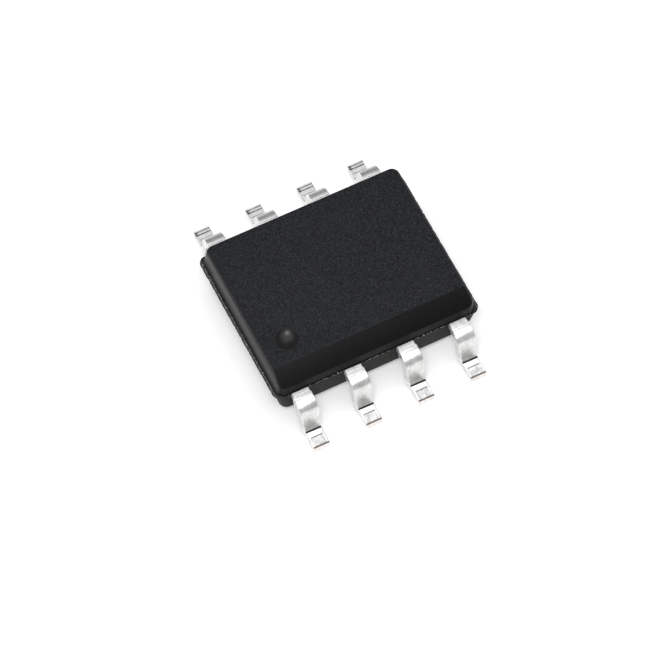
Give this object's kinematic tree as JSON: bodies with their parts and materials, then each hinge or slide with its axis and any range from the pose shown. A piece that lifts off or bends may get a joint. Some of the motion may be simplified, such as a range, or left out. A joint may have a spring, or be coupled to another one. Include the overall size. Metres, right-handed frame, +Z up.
{
  "type": "soic ic chip",
  "caption": "Small-outline integrated circuit: a moulded body with gull-wing leads on both long sides, soldered flat onto a circuit board.",
  "frame": {"origin": "centre of the part in plan, on the board surface that the feet stand on", "axes": "+X along the lead rows from lead 1 towards lead 4, -Y towards the row of leads 1 to 4 and the bevelled edge, +Z up away from the board"},
  "size_m": [0.005, 0.006, 0.0014],
  "materials": {
    "mould_compound": "fine-grained matte black epoxy",
    "tinned_lead": "matt tin plate over copper alloy",
    "copper_pad": "bare copper alloy",
    "die_attach_epoxy": "silver-filled epoxy",
    "silicon": "polished silicon",
    "gold_wire": "drawn gold"
  },
  "bodies": {
    "root": {"package_body": "mould_compound", "lead_1": "tinned_lead", "lead_2": "tinned_lead", "lead_3": "tinned_lead", "lead_4": "tinned_lead", "lead_5": "tinned_lead", "lead_6": "tinned_lead", "lead_7": "tinned_lead", "lead_8": "tinned_lead", "die_pad": "copper_pad", "die_attach": "die_attach_epoxy", "die": "silicon", "bond_wire_1": "gold_wire", "bond_wire_2": "gold_wire", "bond_wire_3": "gold_wire", "bond_wire_4": "gold_wire", "bond_wire_5": "gold_wire", "bond_wire_6": "gold_wire", "bond_wire_7": "gold_wire", "bond_wire_8": "gold_wire"}
  },
  "joints": []
}
